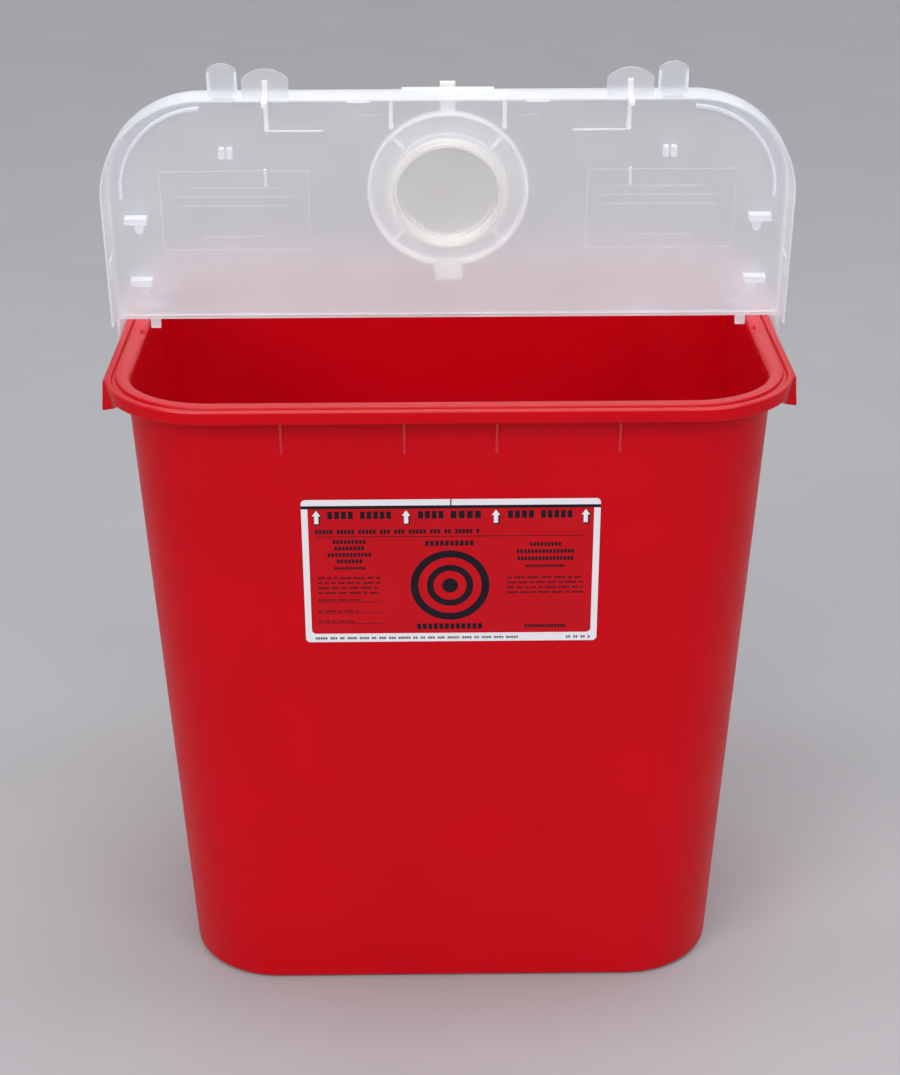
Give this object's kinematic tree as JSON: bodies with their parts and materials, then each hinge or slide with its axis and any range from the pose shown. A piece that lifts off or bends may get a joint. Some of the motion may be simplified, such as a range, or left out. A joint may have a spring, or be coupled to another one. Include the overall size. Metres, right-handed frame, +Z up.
{
  "type": "sharps container",
  "caption": "Tall tapered waste tub with side lifting ears and a press-on lid whose front half folds up on a living hinge, with a capped drop port and press-down locking tabs.",
  "frame": {"origin": "centre of the flat base, on the surface that the container stands on", "axes": "+Z up, +X to the right along the width, +Y to the back, so the label and the opening half of the lid face -Y"},
  "size_m": [0.396, 0.2826, 0.5594],
  "materials": {
    "tub_red": "satin moulded polypropylene with a fine grain",
    "label_film": null,
    "lid_natural": "translucent milky polypropylene, satin",
    "cap_natural": "translucent milky polypropylene, satin, slightly warmer"
  },
  "bodies": {
    "tub": {"tub": "tub_red", "front_label": "label_film", "lid_rear": "lid_natural", "lid_hinge": "lid_natural"},
    "lid_flap": {"lid_flap": "lid_natural", "cap_hinge_clip": "cap_natural"},
    "port_cap": {"port_cap": "cap_natural"},
    "lock_tab_left": {"lock_tab_left": "lid_natural"},
    "lock_tab_right": {"lock_tab_right": "lid_natural"}
  },
  "joints": [
    {"name": "lid_fold", "type": "hinge", "parent": "tub", "child": "lid_flap", "pos_m": [0, -0.0035, 0.4026], "axis": [1, 0, 0], "range_deg": [-6, 83.5]},
    {"name": "cap_flip", "type": "hinge", "parent": "lid_flap", "child": "port_cap", "pos_m": [0, -0.00473, 0.43014], "axis": [-1, 0, 0], "range_deg": [0, 100]},
    {"name": "lock_left_press", "type": "hinge", "parent": "lid_flap", "child": "lock_tab_left", "pos_m": [-0.1247, -0.03708, 0.54008], "axis": [1, 0, 0], "range_deg": [0, 20], "stiffness_Nm_per_rad": 0.02},
    {"name": "lock_right_press", "type": "hinge", "parent": "lid_flap", "child": "lock_tab_right", "pos_m": [0.1247, -0.03708, 0.54008], "axis": [1, 0, 0], "range_deg": [0, 20], "stiffness_Nm_per_rad": 0.02}
  ]
}
